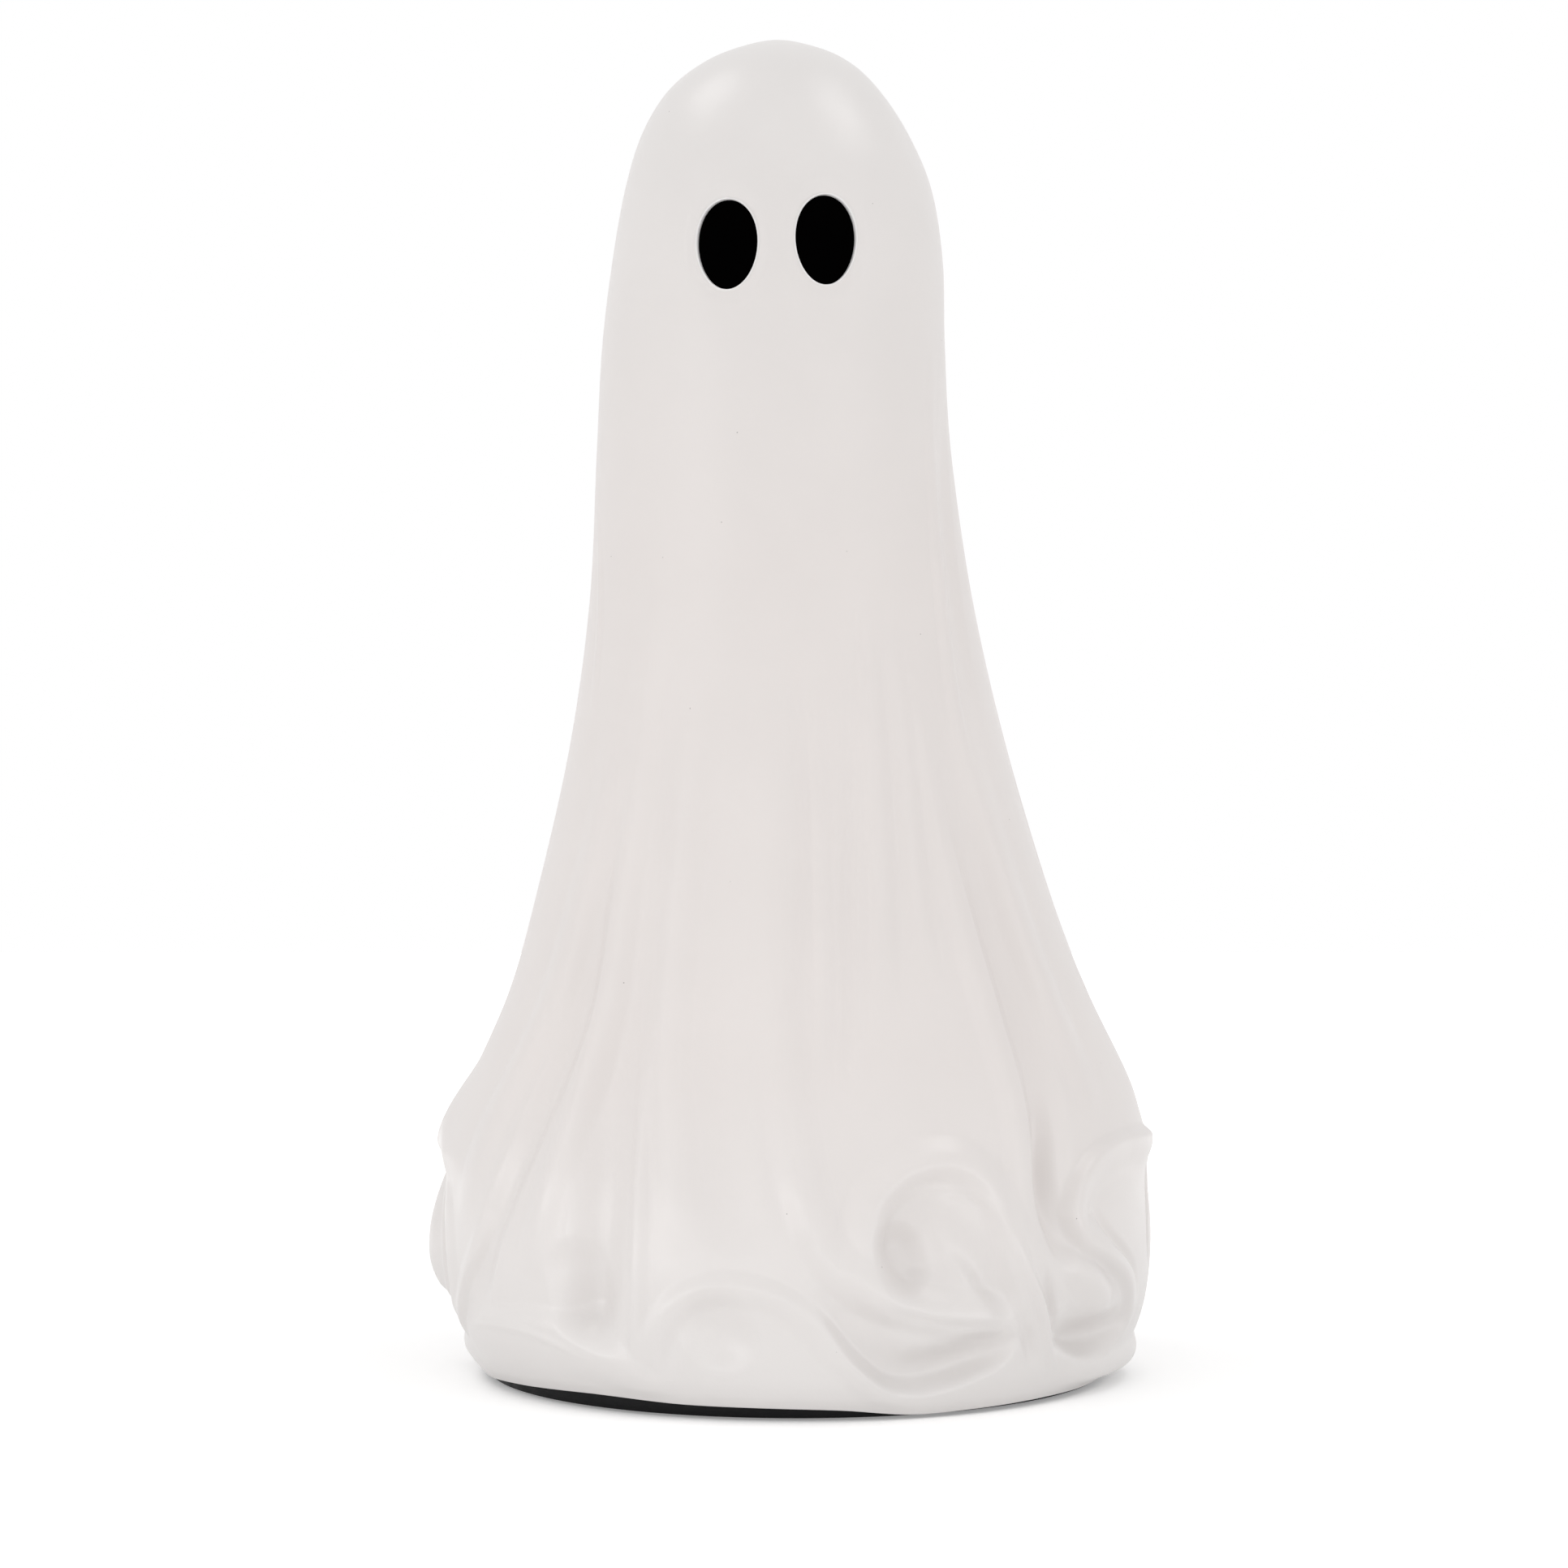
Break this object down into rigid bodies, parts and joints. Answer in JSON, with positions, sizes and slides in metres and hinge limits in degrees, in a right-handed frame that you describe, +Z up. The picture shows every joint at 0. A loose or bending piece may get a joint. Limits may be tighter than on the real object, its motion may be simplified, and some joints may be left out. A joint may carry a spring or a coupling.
{
  "type": "ghost figure",
  "caption": "Hollow white draped-sheet ghost figure with two black oval eyes, on a black base with a battery compartment and internal lights.",
  "frame": {"origin": "on the floor under the middle of the figure's bounding box", "axes": "+Z up, -Y is the way the eyes face, +X is to the right in the picture"},
  "size_m": [0.3059, 0.2856, 0.5588],
  "materials": {
    "shell_white": "satin moulded white with a fine orange-peel texture",
    "eye_black": "plain matte black",
    "base_black": "fine-textured black",
    "rubber": "matte rubber",
    "steel": "zinc plated",
    "cell_sleeve": "plain printed sleeve, dark with a copper-coloured end band",
    "switch_black": "moulded black",
    "knob_grey": "moulded grey",
    "board_white": "white solder mask",
    "led_lens": "clear warm epoxy",
    "wire_red": "smooth insulation",
    "wire_grey": "smooth insulation",
    "wire_black": "smooth insulation"
  },
  "bodies": {
    "figure": {"ghost_shell": "shell_white", "eye_left": "eye_black", "eye_right": "eye_black", "base_plate": "base_black", "base_screw_1": "steel", "base_screw_2": "steel", "base_screw_3": "steel", "base_screw_4": "steel", "base_screw_5": "steel", "base_screw_6": "steel", "foot_1": "rubber", "foot_2": "rubber", "foot_3": "rubber", "foot_4": "rubber", "battery_box": "base_black", "battery_box_screw_1": "steel", "battery_box_screw_2": "steel", "battery_1": "cell_sleeve", "battery_2": "cell_sleeve", "battery_3": "cell_sleeve", "battery_spring_1": "steel", "battery_spring_2": "steel", "battery_spring_3": "steel", "contact_left_1": "steel", "contact_left_2": "steel", "contact_right_1": "steel", "contact_right_2": "steel", "switch_body": "switch_black", "switch_screw_1": "steel", "switch_screw_2": "steel", "led_board": "board_white", "led_board_screw_1": "steel", "led_board_screw_2": "steel", "led_board_screw_3": "steel", "led_1": "led_lens", "led_2": "led_lens", "led_3": "led_lens", "lead_red": "wire_red", "lead_switch": "wire_grey", "lead_black": "wire_black"},
    "battery_door": {"battery_door": "base_black"},
    "switch_knob": {"switch_knob": "knob_grey"}
  },
  "joints": [
    {"name": "battery_door_hinge", "type": "hinge", "parent": "figure", "child": "battery_door", "pos_m": [0.0035, 0.02535, 0.001], "axis": [-1, 0, 0], "range_deg": [0, 80]},
    {"name": "switch_slide", "type": "slide", "parent": "figure", "child": "switch_knob", "axis": [1, 0, 0], "range_m": [0, 0.004]}
  ]
}
